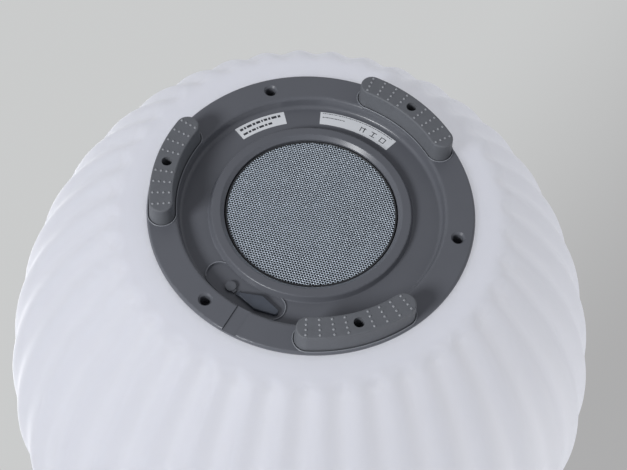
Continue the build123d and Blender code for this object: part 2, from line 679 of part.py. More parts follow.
def top_cap():
    body = cap_blank()
    for side in (-1, 1):
        boss = Rot(0, 90, 0) * Cylinder(5.2, 5.0)
        body = body + Pos(side * 51.7, 0, PIVOT_Z) * boss
        body = body + Pos(side * 67.1, 0, PIVOT_Z) * boss
        body = body - Pos(side * 59.5, 0, PIVOT_Z) * Rot(0, 90, 0) * Cylinder(2.0, 24)
        body = body + block(14, 8, CAP_FACE - CAP_CHANNEL_H - 0.5, CAP_FACE - 10.8, (0, side * HANDLE_R))
        scoop = disc(SCOOP_R, CAP_FACE - SCOOP_DEPTH, CAP_FACE + 1, (0, side * 70.0))
        body = body - fillet(scoop.edges().group_by(Axis.Z)[0], 1.5)
    for spot in KEY_SPOTS:
        body = body - disc(KEY_R + 0.25, CAP_FACE - 4, CAP_FACE + 1, spot)
    body = body - disc(4.05, CAP_FACE - 4, CAP_FACE + 1)
    for spot in KEY_BOARD_SPOTS:
        body = body + disc(3.2, KEY_BOARD_HIGH, CAP_FACE - 2, spot)
        body = body - disc(1.2, KEY_BOARD_HIGH - 1, CAP_FACE - 4, spot)
    for angle in SCREW_ANGLES:
        at = polar(SCREW_R, angle)
        body = body - disc(1.7, CAP_FACE - FLANGE_T - 1, CAP_FACE - 1.6, (at.X, at.Y))
    return body - disc(0.6, CAP_FACE - 4, CAP_FACE + 1, (9, 9))


def top_seal():
    return seal_ring(mirrored(FOOT_H + NECK_SEAT_H), mirrored(FOOT_H + FLANGE_T))


def top_screws():
    seat = mirrored(FOOT_H + NECK_TOP_H)
    return around(SCREW_ANGLES, SCREW_R, lambda at: screw(at, CAP_FACE - 2, seat, SHANK_R, 3.4, 2.4))


def handle():
    """The carrying bail: half a ring that lies in the cap's channel and turns on two pins."""
    section = Plane.XZ * Pos(HANDLE_R, PIVOT_Z) * RectangleRounded(9, 8, 3.2)
    body = revolve(section, Axis.Z, 180)
    for side in (-1, 1):
        eye = Pos(side * HANDLE_R, 0, PIVOT_Z) * Rot(0, 90, 0) * Cylinder(5.0, 9.0)
        body = body + eye
    return body - Pos(0, 0, PIVOT_Z) * Rot(0, 90, 0) * Cylinder(2.05, 140)


def handle_pins():
    return [Pos(side * 59.5, 0, PIVOT_Z) * Rot(0, 90, 0) * Cylinder(1.98, 23) for side in (-1, 1)]


def key(spot):
    crown = disc(KEY_R, CAP_FACE - 3.6, CAP_FACE + KEY_PROUD, spot)
    crown = fillet(crown.edges().group_by(Axis.Z)[-1], 0.6)
    dish = Pos(spot[0], spot[1], CAP_FACE + KEY_PROUD + 39.5) * Sphere(40.0)
    flange = disc(KEY_R + 1.4, CAP_FACE - 4.6, CAP_FACE - 3.3, spot)
    return crown - dish + flange + disc(2.0, CAP_FACE - 9.0, CAP_FACE - 4, spot)


def key_board():
    body = disc(42.0, KEY_BOARD_LOW, KEY_BOARD_HIGH)
    for spot in KEY_BOARD_SPOTS:
        body = body - disc(1.4, KEY_BOARD_LOW - 1, KEY_BOARD_HIGH + 1, spot)
    return body


def key_switches():
    return [tact_switch(spot, KEY_BOARD_HIGH, 0, up=1) - disc(3, KEY_BOARD_HIGH + 4.1, KEY_BOARD_HIGH + 6,
            spot) for spot in KEY_SPOTS]


def status_lens():
    lens = disc(4.0, CAP_FACE - 3.5, CAP_FACE + 0.3)
    lens = fillet(lens.edges().group_by(Axis.Z)[-1], 0.25)
    return lens + disc(5.2, CAP_FACE - 4.2, CAP_FACE - 3.1) + disc(2.0, CAP_FACE - 12.5, CAP_FACE - 4)


# ---- writing ------------------------------------------------------------------------------
def save(name, shape):
    solids = []
    for piece in shape if isinstance(shape, list) else [shape]:
        solids += piece.solids()
    result = solids[0] if len(solids) == 1 else Compound(children=solids)
    export_step(result, f"parts/{name}.step")


def main():
    os.makedirs("parts", exist_ok=True)
    pieces = {
        "lantern_body": lantern_body(), "base_housing": base_housing(),
        "foot_a": foot(FOOT_ANGLES[0]), "foot_b": foot(FOOT_ANGLES[1]), "foot_c": foot(FOOT_ANGLES[2]),
        "base_screws": base_screws(), "base_seal": base_seal(), "speaker_grille": speaker_grille(),
        "grille_cloth": grille_cloth(),
        "left_label": label(58.3, -126.9, -101.6), "right_label": label(57.4, -84.0, -44.0),
        "port_plug": port_plug(), "plug_anchor": plug_anchor(), "port_board": port_board(),
        "charge_socket": charge_socket(), "power_button": power_button(),
        "power_switch": power_switch(),
        "driver_gasket": driver_gasket(), "driver_basket": driver_basket(),
        "driver_screws": driver_screws(), "front_plate": front_plate(), "magnet": magnet(),
        "yoke": yoke(), "voice_coil": voice_coil(), "speaker_cone": speaker_cone(),
        "dust_cap": dust_cap(), "surround": surround(), "spider": spider(),
        "terminal_strip": terminal_strip(),
        "chamber_wall": chamber_wall(), "chamber_lid": chamber_lid(),
        "chamber_screws": chamber_screws(), "battery_shelf": battery_shelf(),
        "battery_cells": battery_cells(), "battery_strap": battery_strap(),
        "main_board": main_board(), "board_components": board_components(),
        "board_standoffs": board_standoffs(), "board_screws": board_screws(),
        "led_plate": led_plate(), "led_standoffs": led_standoffs(), "led_chips": led_chips(),
        "speaker_lead": speaker_lead(), "battery_lead": battery_lead(), "led_lead": led_lead(),
        "port_cable": port_cable(), "key_cable": key_cable(),
        "top_cap": top_cap(), "top_seal": top_seal(), "top_screws": top_screws(),
        "handle": handle(), "handle_pins": handle_pins(),
        "volume_up_key": key(KEY_SPOTS[0]), "light_key": key(KEY_SPOTS[1]),
        "volume_down_key": key(KEY_SPOTS[2]), "pairing_key": key(KEY_SPOTS[3]),
        "key_board": key_board(), "key_switches": key_switches(), "status_lens": status_lens(),
    }
    for name, shape in pieces.items():
        save(name, shape)


main()
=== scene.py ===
"""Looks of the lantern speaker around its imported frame.

Metres, +Z up, feet on the table at z = 0.
"""
import json
import math

import bmesh
import bpy
import numpy as np
from mathutils import Matrix, Vector


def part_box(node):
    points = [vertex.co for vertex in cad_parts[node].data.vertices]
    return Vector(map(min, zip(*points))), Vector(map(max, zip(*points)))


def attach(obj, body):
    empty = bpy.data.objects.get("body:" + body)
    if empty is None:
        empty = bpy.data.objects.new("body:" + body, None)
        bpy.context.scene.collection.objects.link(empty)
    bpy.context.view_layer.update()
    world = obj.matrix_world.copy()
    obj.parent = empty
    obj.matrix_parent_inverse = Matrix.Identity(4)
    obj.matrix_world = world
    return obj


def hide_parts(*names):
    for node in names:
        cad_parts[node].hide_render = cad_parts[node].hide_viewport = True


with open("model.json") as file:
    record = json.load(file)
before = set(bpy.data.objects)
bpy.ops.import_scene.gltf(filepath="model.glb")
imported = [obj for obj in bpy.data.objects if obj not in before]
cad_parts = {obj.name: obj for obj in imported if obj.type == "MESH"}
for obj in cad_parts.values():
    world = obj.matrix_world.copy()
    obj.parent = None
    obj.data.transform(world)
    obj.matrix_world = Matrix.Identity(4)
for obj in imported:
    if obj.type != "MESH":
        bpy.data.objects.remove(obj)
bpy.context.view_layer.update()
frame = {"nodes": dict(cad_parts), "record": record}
nodes = frame["nodes"]
MM = 0.001

# ---- sizes shared by several pieces, in metres ------------------------------------------------
SOLE_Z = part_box("foot_a")[0].z
CAP_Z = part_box("top_cap")[1].z
KEY_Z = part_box("volume_up_key")[1].z
FOOT_RIM_H = 0.4 * MM          # the rims round the feet stand this far below the flange's face
FLANGE_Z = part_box("base_housing")[0].z + FOOT_RIM_H
GLOBE_Z = (FLANGE_Z + CAP_Z) / 2
SCREW_R = 77 * MM              # circle of the screws, also the middle of the feet
FOOT_ANGLES = {"foot_a": -45.4, "foot_b": 74.6, "foot_c": -165.4}


def polar(radius, degrees, z=0.0):
    angle = math.radians(degrees)
    return Vector((radius * math.cos(angle), radius * math.sin(angle), z))


# ---- node helpers for materials ---------------------------------------------------------------
def add_node(tree, kind, inputs=None, **settings):
    """Adds a shader node; an input is either a value or another node's output."""
    node = tree.nodes.new(kind)
    for name, value in settings.items():
        setattr(node, name, value)
    for name, value in (inputs or {}).items():
        if isinstance(value, bpy.types.NodeSocket):
            tree.links.new(value, node.inputs[name])
        else:
            node.inputs[name].default_value = value
    return node


def math_node(tree, operation, first, second=0.0):
    node = add_node(tree, "ShaderNodeMath", {0: first, 1: second}, operation=operation)
    return node.outputs[0]


def spread(tree, value, low, high):
    """Maps a 0..1 value onto low..high."""
    node = add_node(tree, "ShaderNodeMapRange", {"Value": value, "To Min": low, "To Max": high})
    return node.outputs["Result"]


def ramp(tree, value, start, end, kind="SMOOTHSTEP"):
    """Goes from 0 at start to 1 at end, and stays level beyond them."""
    inputs = {"Value": value, "From Min": start, "From Max": end}
    node = add_node(tree, "ShaderNodeMapRange", inputs, interpolation_type=kind)
    return node.outputs["Result"]


def noise(tree, place, size, detail=3.0, roughness=0.5):
    settings = {"Vector": place, "Scale": 1 / size, "Detail": detail, "Roughness": roughness}
    return add_node(tree, "ShaderNodeTexNoise", settings).outputs["Fac"]


def blend_colours(tree, share, first, second):
    node = add_node(tree, "ShaderNodeMix", data_type="RGBA")
    sockets = (node.inputs["Factor"], node.inputs[6], node.inputs[7])
    for socket, value in zip(sockets, (share, first, second)):
        if isinstance(value, bpy.types.NodeSocket):
            tree.links.new(value, socket)
        else:
            socket.default_value = (*value, 1.0) if isinstance(value, tuple) else value
    return node.outputs[2]


def scaled(colour, factor):
    return tuple(min(1.0, part * factor) for part in colour)


def surface(name, colour, rough, contrast=0.05, patch=0.03, grain=0.0005, relief=0.0,
            gloss_spread=0.06, **constants):
    """A finish with patchy colour, uneven gloss and a fine grain.

    patch and grain are the sizes of the two noises in metres; relief is the height of the grain.
    Returns the material, its tree, its shader and its object coordinates, for more detail on top.
    """
    grain_share = 0.35             # of the grain in the colour, beside the patches
    material = bpy.data.materials.new(name)
    material.use_nodes = True
    tree = material.node_tree
    shader = tree.nodes["Principled BSDF"]
    place = add_node(tree, "ShaderNodeTexCoord").outputs["Object"]
    patches = noise(tree, place, patch)
    grains = noise(tree, place, grain, detail=2.0)
    both = math_node(tree, "ADD", patches, math_node(tree, "MULTIPLY", grains, grain_share))
    share = spread(tree, both, -0.1, 1.0)
    tint = blend_colours(tree, share, scaled(colour, 1 - contrast), scaled(colour, 1 + contrast))
    tree.links.new(tint, shader.inputs["Base Color"])
    gloss = spread(tree, patches, rough - gloss_spread, rough + gloss_spread)
    tree.links.new(gloss, shader.inputs["Roughness"])
    if relief:
        bump = add_node(
            tree, "ShaderNodeBump", {"Height": grains, "Distance": relief, "Strength": 1.0})
        tree.links.new(bump.outputs["Normal"], shader.inputs["Normal"])
    for socket, value in constants.items():
        shader.inputs[socket.replace("_", " ")].default_value = value
    return material, tree, shader, place


def plain(*arguments, **more):
    return surface(*arguments, **more)[0]


def metal(name, colour, rough, **more):
    return plain(name, colour, rough, Metallic=1.0, **more)


# ---- finishes ---------------------------------------------------------------------------------
def globe_finish():
    """Milky polyethylene: light spreads in the wall, which is thicker and paler at the collars. The
    whole shell also glows faintly: a painted glow in place of light carried through the wall.
    """
    thin, thick = (0.280, 0.288, 0.334), (0.365, 0.375, 0.432)
    thin_from_r, thick_to_r = 106 * MM, 94 * MM
    material, tree, shader, place = surface(
        "globe_polyethylene", thin, 0.60, contrast=0.012, patch=0.09, grain=0.0011,
        relief=0.000012, Subsurface_Weight=1.0, Subsurface_Scale=0.022, Specular_IOR_Level=0.25,
        Emission_Strength=0.375)
    flat = add_node(tree, "ShaderNodeVectorMath", {0: place, 1: (1, 1, 0)}, operation="MULTIPLY")
    from_axis = add_node(tree, "ShaderNodeVectorMath", {0: flat.outputs[0]}, operation="LENGTH")
    collar = ramp(tree, from_axis.outputs["Value"], thin_from_r, thick_to_r)
    tint = shader.inputs["Base Color"].links[0].from_socket
    tree.links.new(blend_colours(tree, collar, tint, thick), shader.inputs["Base Color"])
    shader.inputs["Subsurface Radius"].default_value = (1.0, 0.95, 0.9)
    # The emission is painted light: the shell gives out an even faint light of its own.
    shader.inputs["Emission Color"].default_value = (0.95, 0.965, 1.0, 1.0)
    return material


def paper_finish():
    """Pale paper with fibres that lie along one direction."""
    material, tree, shader, place = surface(
        "label_paper", (0.86, 0.88, 0.90), 0.45, contrast=0.02, patch=0.004, grain=0.00025,
        relief=0.000012)
    stretched = add_node(tree, "ShaderNodeMapping", {"Vector": place, "Scale": (1.0, 0.25, 1.0)})
    fibres = add_node(tree, "ShaderNodeTexNoise", {
        "Vector": stretched.outputs[0], "Scale": 2600.0, "Detail": 4.0})
    share = spread(tree, fibres.outputs["Fac"], 0.0, 0.35)
    wear = blend_colours(tree, share, (0.88, 0.90, 0.925), (0.76, 0.78, 0.80))
    tree.links.new(wear, shader.inputs["Base Color"])
    return material


def board_finish():
    """Green solder mask over copper tracks."""
    material, tree, shader, place = surface(
        "board_laminate", (0.02, 0.12, 0.05), 0.35, contrast=0.1, patch=0.01)
    tracks = add_node(tree, "ShaderNodeTexBrick", {
        "Vector": place, "Scale": 260.0, "Mortar Size": 0.03, "Color1": (0.018, 0.11, 0.045, 1),
        "Color2": (0.022, 0.13, 0.055, 1), "Mortar": (0.05, 0.22, 0.09, 1)})
    tree.links.new(tracks.outputs["Color"], shader.inputs["Base Color"])
    return material


def woven(name, rough, threads_per_metre, first, second):
    """Cloth of two thread colours in a fine check, with the usual uneven gloss."""
    material, tree, shader, place = surface(name, first, rough, patch=0.002)
    weave = add_node(tree, "ShaderNodeTexChecker", {
        "Vector": place, "Scale": threads_per_metre, "Color1": (*first, 1), "Color2": (*second, 1)})
    tree.links.new(weave.outputs["Color"], shader.inputs["Base Color"])
    return material


finishes = {
    "globe_plastic": globe_finish(),
    "housing_plastic": plain("housing_plastic", (0.131, 0.137, 0.155), 0.31, contrast=0.05,
                             patch=0.02, grain=0.0006, relief=0.00002),
    "handle_plastic": plain("handle_plastic", (0.120, 0.127, 0.143), 0.48, contrast=0.05,
                            patch=0.02, grain=0.0006, relief=0.00002),
    "foot_rubber": plain("foot_rubber", (0.138, 0.145, 0.159), 0.62, contrast=0.10, patch=0.004,
                         grain=0.0008, relief=0.00005),
    "screw_steel": metal("screw_steel", (0.10, 0.10, 0.11), 0.40, contrast=0.2, patch=0.002),
    "standoff_brass": metal("standoff_brass", (0.70, 0.52, 0.25), 0.30, patch=0.004),
    "seal_rubber": plain("seal_rubber", (0.03, 0.03, 0.03), 0.70, patch=0.004, grain=0.0005,
                         relief=0.00002),
    "grille_steel": plain("grille_steel", (0.74, 0.83, 0.92), 0.36, contrast=0.08, patch=0.012,
                          grain=0.0004, relief=0.000006, Metallic=0.5),
    "grille_cloth": woven("acoustic_cloth", 0.9, 3200.0, (0.016, 0.016, 0.018),
                          (0.007, 0.007, 0.008)),
    "label_paper": paper_finish(),
    "plug_rubber": plain("plug_rubber", (0.074, 0.084, 0.104), 0.45, contrast=0.12, patch=0.003,
                         grain=0.0005, relief=0.00002),
    "board_laminate": board_finish(),
    "socket_steel": metal("socket_steel", (0.60, 0.60, 0.60), 0.28, patch=0.003),
    "key_plastic": plain("key_plastic", (0.075, 0.080, 0.092), 0.42, contrast=0.08, patch=0.006,
                         grain=0.0004, relief=0.00001),
    "component_plastic": plain("component_plastic", (0.03, 0.03, 0.03), 0.45, patch=0.003),
    "frame_steel": plain("frame_steel", (0.05, 0.05, 0.05), 0.40, patch=0.01, grain=0.0006,
                         relief=0.00002),
    "magnet_ferrite": plain("magnet_ferrite", (0.08, 0.08, 0.085), 0.55, contrast=0.15,
                            patch=0.004),
    "coil_copper": metal("coil_copper", (0.60, 0.25, 0.12), 0.35, patch=0.002),
    "cone_paper": plain("cone_paper", (0.05, 0.05, 0.05), 0.75, contrast=0.2, patch=0.003,
                        relief=0.00004),
    "spider_cloth": woven("spider_cloth", 0.8, 1800.0, (0.48, 0.34, 0.13), (0.36, 0.25, 0.09)),
    "chamber_plastic": plain("chamber_plastic", (0.70, 0.70, 0.70), 0.50, contrast=0.02),
    "cell_wrap": plain("cell_wrap", (0.05, 0.20, 0.45), 0.25, contrast=0.05),
    "led_aluminium": metal("led_aluminium", (0.85, 0.85, 0.85), 0.35),
    "led_resin": plain("led_resin", (0.85, 0.80, 0.45), 0.20, contrast=0.05, patch=0.002),
    "wire_insulation": plain("wire_insulation", (0.04, 0.04, 0.04), 0.45, patch=0.004),
    # the rest are details that share the slot of the part they belong to
    "worn_rubber": plain("worn_rubber", (0.120, 0.127, 0.142), 0.40, contrast=0.1, patch=0.003,
                         grain=0.0005, relief=0.00002),
    # The pips are the same rubber as the feet; their pale tone is a painted highlight on their
    # tops.
    "pip_rubber": plain("pip_rubber", (0.30, 0.31, 0.33), 0.32, contrast=0.12, patch=0.004,
                        grain=0.0008),
    # Paler than the housing plastic: a painted highlight on the rims' edges, not a different
    # plastic.
    "polished_rim": plain("polished_rim", (0.27, 0.283, 0.310), 0.30, contrast=0.08, patch=0.008),
    # Near black: painted shade on the grille's rim wall, which is the same metal as the sheet and
    # lies in shadow.
    "grille_edge": plain("grille_edge", (0.030, 0.032, 0.036), 0.5, contrast=0.1, patch=0.006),
    "label_ink": plain("label_ink", (0.045, 0.047, 0.055), 0.5, contrast=0.3, patch=0.0006),
}


def give_finish(obj, finish):
    obj.data.materials.clear()
    obj.data.materials.append(finishes[finish])


for part in frame["record"]["subparts"]:
    give_finish(nodes[part["node"]], part["material_slot"])
give_finish(nodes["plug_anchor"], "worn_rubber")


# ---- mesh helpers -----------------------------------------------------------------------------
SMOOTH_BELOW = math.radians(35)          # edges of the new pieces that bend less are shaded smooth
FRAME_SMOOTH_BELOW = math.radians(25)    # the same for the frame's own pieces


def new_piece(name, vertices, faces, slot_name, body="root", finish=None):
    mesh = bpy.data.meshes.new(name)
    mesh.from_pydata(vertices, [], faces)
    mesh.validate()
    return place_piece(name, mesh, slot_name, body, finish)


def place_piece(name, mesh, slot_name, body="root", finish=None):
    """Puts a mesh into the scene on a body; its finish is the slot's, unless another is named."""
    mesh.update()
    obj = bpy.data.objects.new(name, mesh)
    bpy.context.scene.collection.objects.link(obj)
    give_finish(obj, finish or slot_name)
    mesh.shade_smooth()
    mesh.set_sharp_from_angle(angle=SMOOTH_BELOW)
    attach(obj, body)
    return obj


def ring_faces(rings, count, start=0, closed=True):
    """Quads between rings of count vertices each, from vertex start on.

    Closed rings also join the last ring to the first.
    """
    faces = []
    for i in range(rings if closed else rings - 1):
        here, there = start + i * count, start + (i + 1) % rings * count
        for j in range(count):
            side = (j + 1) % count
            faces.append((here + j, here + side, there + side, there + j))
    return faces


def joined(parts):
    """One vertex and face list from several."""
    vertices, faces = [], []
    for part_vertices, part_faces in parts:
        start = len(vertices)
        vertices += part_vertices
        faces += [tuple(index + start for index in face) for face in part_faces]
    return vertices, faces


def thicken(obj, thickness):
    """Gives a sheet its thickness, away from its outer side, and applies it."""
    solidify = obj.modifiers.new("thickness", "SOLIDIFY")
    solidify.thickness = thickness
    solidify.offset = -1
    evaluated = obj.evaluated_get(bpy.context.evaluated_depsgraph_get())
    applied = bpy.data.meshes.new_from_object(evaluated)
    obj.modifiers.clear()
    obj.data = applied


# ---- globe ------------------------------------------------------------------------------------
FLUTES = 38
CREST = math.radians(3.14)     # direction of the first crest
STEPS_PER_FLUTE = 12
EQUATOR_R = 176.25 * MM
HALF_HEIGHT = 227.5 * MM       # of the whole superellipse; the collars cut it short
ROUNDNESS = 1.939              # exponent of the superellipse that the crests follow
WALL = 5 * MM
COLLAR_IN_R = 83.5 * MM
COLLAR_OUT_R = 98 * MM
COLLAR_Z = FLANGE_Z + 2.5 * MM
COLLAR_RISE = 0.9 * MM
COLLAR_OUT_Z = COLLAR_Z + COLLAR_RISE
BEND_END_Z = FLANGE_Z + 7.4 * MM         # where the bend at the collar meets the superellipse
SEAT_Z = FLANGE_Z + 6.5 * MM
NECK_TOP_Z = FLANGE_Z + 10.5 * MM
FLUTED_FROM_R = 92 * MM
GROOVE_DEPTH = 2.2 * MM
GROOVE_START = 5.0 * MM        # along the surface, from FLUTED_FROM_R to a groove's rounded end
GROOVE_END_LENGTH = 9.0 * MM   # over which a groove reaches its depth
GROOVE_END_ROUND = 6.0 * MM
GROOVE_ROUND_SHARE = 0.98      # of the quarter circle that rounds a groove's end
VALLEY_SHARPNESS = 0.12        # share of a cusp in the wave that shapes the grooves
COLLAR_POINTS, BEND_POINTS, SIDE_POINTS, INSIDE_POINTS = 7, 14, 64, 16


def globe_radius(z, inset=0.0):
    share = abs(z - GLOBE_Z) / (HALF_HEIGHT - inset)
    return (EQUATOR_R - inset) * (1 - share ** ROUNDNESS) ** (1 / ROUNDNESS)


def outer_profile():
    """(r, z) down the outside of the lower half, from the seat behind the flange to the equator.

    Returns the plain points at the seat's rounded edge and the points that carry the flutes.
    """
    seat = [(COLLAR_IN_R, COLLAR_Z + 2 * MM), (COLLAR_IN_R, COLLAR_Z + 0.3 * MM),
            (COLLAR_IN_R + 0.1 * MM, COLLAR_Z + 0.1 * MM), (COLLAR_IN_R + 0.3 * MM, COLLAR_Z),
            (COLLAR_IN_R + 4 * MM, COLLAR_Z + 0.2 * MM)]
    collar = [(FLUTED_FROM_R + (COLLAR_OUT_R - FLUTED_FROM_R) * t,
               COLLAR_Z + COLLAR_RISE * (1 + t) / 2)
              for t in np.linspace(0, 1, COLLAR_POINTS)[:-1]]
    start = np.array((COLLAR_OUT_R, COLLAR_OUT_Z))
    middle = np.array((globe_radius(COLLAR_OUT_Z), COLLAR_OUT_Z + 0.3 * MM))
    end = np.array((globe_radius(BEND_END_Z), BEND_END_Z))
    bend = [tuple((1 - t) ** 2 * start + 2 * t * (1 - t) * middle + t * t * end)
            for t in np.linspace(0, 1, BEND_POINTS)]
    heights = BEND_END_Z + (GLOBE_Z - BEND_END_Z) * np.linspace(0, 1, SIDE_POINTS)[1:] ** 1.5
    return seat, collar + bend + [(globe_radius(z), z) for z in heights]


def inner_profile():
    """(r, z) of the lower half inside, from just below the equator to the flange's seat."""
    heights = np.linspace(GLOBE_Z, NECK_TOP_Z, INSIDE_POINTS)[1:]
    cavity = [(globe_radius(z, WALL), z) for z in heights]
    return cavity + [(COLLAR_IN_R, NECK_TOP_Z), (COLLAR_IN_R, SEAT_Z)]


def groove_depths(profile, phases):
    """Depth of the grooves at each profile point and each phase (0 on a crest, pi in a valley)."""
    points = np.array(profile)
    along = np.concatenate(([0], np.cumsum(np.linalg.norm(np.diff(points, axis=0), axis=1))))
    wave = 0.5 * (1 - np.cos(phases))
    cusp = 1 - np.abs(np.cos(phases / 2))
    section = wave * (1 - VALLEY_SHARPNESS) + cusp * VALLEY_SHARPNESS
    from_valley = 1 - np.abs((phases + math.pi) % (2 * math.pi) - math.pi) / math.pi
    off_valley = np.minimum(from_valley, GROOVE_ROUND_SHARE)
    end_round = GROOVE_END_ROUND * (1 - np.sqrt(1 - off_valley ** 2))
    rise = np.clip((along[:, None] - GROOVE_START - end_round[None, :]) / GROOVE_END_LENGTH, 0, 1)
    return GROOVE_DEPTH * section[None, :] * (rise * rise * (3 - 2 * rise))


def fluted_rings(profile, phases):
    """Radii and heights of rings on a profile, pushed in along its normals by the grooves."""
    points = np.array(profile)
    slope = np.gradient(points, axis=0)
    normals = np.stack((slope[:, 1], -slope[:, 0]), axis=1)
    normals /= np.linalg.norm(normals, axis=1)[:, None]
    depths = groove_depths(profile, phases)
    return np.stack([points[:, k, None] - depths * normals[:, k, None] for k in (0, 1)])


def plain_rings(profile, count):
    """Radii and heights of round rings with count points each."""
    return np.repeat(np.array(profile).T[:, :, None], count, axis=2)


def upper_half(rings):
    """The same rings mirrored at the equator, in the opposite order."""
    radii, heights = rings[:, ::-1]
    return np.stack((radii, 2 * GLOBE_Z - heights))


def build_globe():
    count = FLUTES * STEPS_PER_FLUTE
    angles = CREST + 2 * math.pi * np.arange(count) / count
    seat, fluted = outer_profile()
    outside = np.concatenate(
        (plain_rings(seat, count), fluted_rings(fluted, FLUTES * (angles - CREST))), axis=1)
    inside = plain_rings(inner_profile(), count)
    equator_inside = plain_rings([(globe_radius(GLOBE_Z, WALL), GLOBE_Z)], count)
    radii, heights = np.concatenate(
        (outside, upper_half(outside)[:, 1:], upper_half(inside), equator_inside, inside), axis=1)
    points = np.stack((radii * np.cos(angles), radii * np.sin(angles), heights), axis=2)
    shell = new_piece("globe_shell", points.reshape(-1, 3).tolist(),
                      ring_faces(len(radii), count), "globe_plastic")
    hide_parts("lantern_body")


build_globe()


# ---- perforated grille ------------------------------------------------------------------------
HOLE_PITCH = 1.466 * MM
HOLE_R = 0.64 * MM
HOLE_SIDES = 12
HOLE_STEP = 360 // HOLE_SIDES  # degrees between neighbouring corners of a hole
LATTICE_TURN = 15.0
LATTICE_MARGIN = 1.3           # the lattice's two directions are oblique, so it needs more steps
PLATE_R = 44.1 * MM
CELL_SLACK, CORNER_SLACK = 0.02 * MM, 0.01 * MM      # cells and faces nearer the rim are left out
RIM_R = 44.3 * MM
WALL_STEPS = 180
DISH_RISE = 0.5 * MM           # the sheet is pressed slightly hollow towards its rim
SHEET = 0.45 * MM


def cell_corner(centre, reach, k):
    return centre + polar(reach, LATTICE_TURN + HOLE_STEP * (k + 1))


def hexagon_cell(centre):
    """Six corners and six edge middles of the lattice cell round a hole, in order."""
    reaches = (HOLE_PITCH / math.sqrt(3), HOLE_PITCH / 2)
    return [cell_corner(centre, reaches[k % 2], k) for k in range(HOLE_SIDES)]


def perforated_sheet(low_z):
    """Vertices and faces of the dished sheet: hexagon cells with holes, cut off at PLATE_R."""
    step_a, step_b = polar(HOLE_PITCH, LATTICE_TURN), polar(HOLE_PITCH, LATTICE_TURN + 60)
    reach = int(PLATE_R / HOLE_PITCH * LATTICE_MARGIN)
    vertices, faces, shared = [], [], {}

    def vertex(point):
        """Shared vertices are found by their rounded place; those past the rim move onto it."""
        flat = Vector((point.x, point.y))
        if flat.length > PLATE_R:
            flat = flat.normalized() * PLATE_R
        key = (round(flat.x / MM, 3), round(flat.y / MM, 3))
        if key not in shared:
            shared[key] = len(vertices)
            z = low_z + DISH_RISE * (flat.length / PLATE_R) ** 2
            vertices.append((flat.x, flat.y, z))
        return shared[key]

    for i in range(-reach, reach + 1):
        for j in range(-reach, reach + 1):
            centre = i * step_a + j * step_b
            cell = hexagon_cell(centre)
            if min(point.length for point in cell) >= PLATE_R - CELL_SLACK:
                continue
            outline = [vertex(point) for point in cell]
            hole = [vertex(cell_corner(centre, HOLE_R, k)) for k in range(HOLE_SIDES)]
            for k in range(HOLE_SIDES):
                side = (k + 1) % HOLE_SIDES
                corners = list(dict.fromkeys((outline[k], outline[side], hole[side], hole[k])))
                inside = [c for c in corners
                          if math.hypot(*vertices[c][:2]) < PLATE_R - CORNER_SLACK]
                if len(corners) > 2 and inside:
                    faces.append(corners)
    return vertices, faces


def build_grille():
    """The perforated sheet and the wall that carries it; the wall's near-black finish is painted
    shade.
    """
    low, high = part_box("speaker_grille")
    vertices, faces = perforated_sheet(low.z)
    wall_start = len(vertices)
    edge_z = low.z + DISH_RISE
    wall = [(PLATE_R - 0.3 * MM, edge_z + 0.1 * MM), (RIM_R - 0.06 * MM, edge_z + 0.06 * MM),
            (RIM_R, edge_z + 0.5 * MM), (RIM_R, high.z - 1.2 * MM),
            (RIM_R + 0.25 * MM, high.z - 0.85 * MM), (high.x, high.z - 0.8 * MM)]
    for radius, z in wall:
        vertices += [tuple(polar(radius, 360 * k / WALL_STEPS, z)) for k in range(WALL_STEPS)]
    wall_faces = ring_faces(len(wall), WALL_STEPS, wall_start, closed=False)
    faces += [tuple(reversed(face)) for face in wall_faces]
    mesh = bpy.data.meshes.new("perforated_grille")
    mesh.from_pydata(vertices, [], faces)
    mesh.validate()
    sheet = bmesh.new()
    sheet.from_mesh(mesh)
    inward = [face for face in sheet.faces
              if face.verts[0].index < wall_start and face.normal.z > 0]
    bmesh.ops.reverse_faces(sheet, faces=inward)
    sheet.to_mesh(mesh)
    sheet.free()
    grille = place_piece("perforated_grille", mesh, "grille_steel")
    # The wall gets the near-black finish: painted shade.
    mesh.materials.append(finishes["grille_edge"])
    for face in mesh.polygons:
        face.material_index = int(face.vertices[0] >= wall_start)
    thicken(grille, SHEET)
    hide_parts("speaker_grille")


build_grille()


# ---- pips on the feet -------------------------------------------------------------------------
PIP_ROWS = (4.6, 9.5, 14.4, 19.3)        # degrees from a foot's middle, to both sides
PIP_LINES = (-4.2, -1.4, 1.4, 4.2)       # millimetres from the circle of the screws
PIP_R = 0.70 * MM
PIP_HEIGHT = 0.48 * MM
PIP_ROOT = 0.15 * MM           # how far a pip's closed bottom is sunk into the sole


def dome(centre, radius, height, root, sides=10, levels=4):
    """Vertices and faces of a small closed dome that stands down from a sole."""
    vertices = [(centre.x, centre.y, centre.z - height)]
    for level in range(1, levels + 1):
        angle = math.pi / 2 * level / levels
        ring_r, drop = radius * math.sin(angle), height * math.cos(angle)
        for k in range(sides):
            at = centre + polar(ring_r, 360 * k / sides)
            vertices.append((at.x, at.y, centre.z - drop))
    for k in range(sides):
        at = centre + polar(radius, 360 * k / sides)
        vertices.append((at.x, at.y, centre.z + root))
    faces = [(0, 1 + (k + 1) % sides, 1 + k) for k in range(sides)]
    faces += ring_faces(levels + 1, sides, start=1, closed=False)
    faces.append(tuple(range(1 + levels * sides, 1 + (levels + 1) * sides)))
    return vertices, faces


def build_pips():
    for foot, middle in FOOT_ANGLES.items():
        pips = []
        for row in PIP_ROWS:
            for side in (-1, 1):
                for line in PIP_LINES:
                    at = polar(SCREW_R + line * MM, middle + side * row, SOLE_Z)
                    pips.append(dome(at, PIP_R, PIP_HEIGHT, PIP_ROOT))
        new_piece(f"{foot}_pips", *joined(pips), "foot_rubber", finish="pip_rubber")


build_pips()
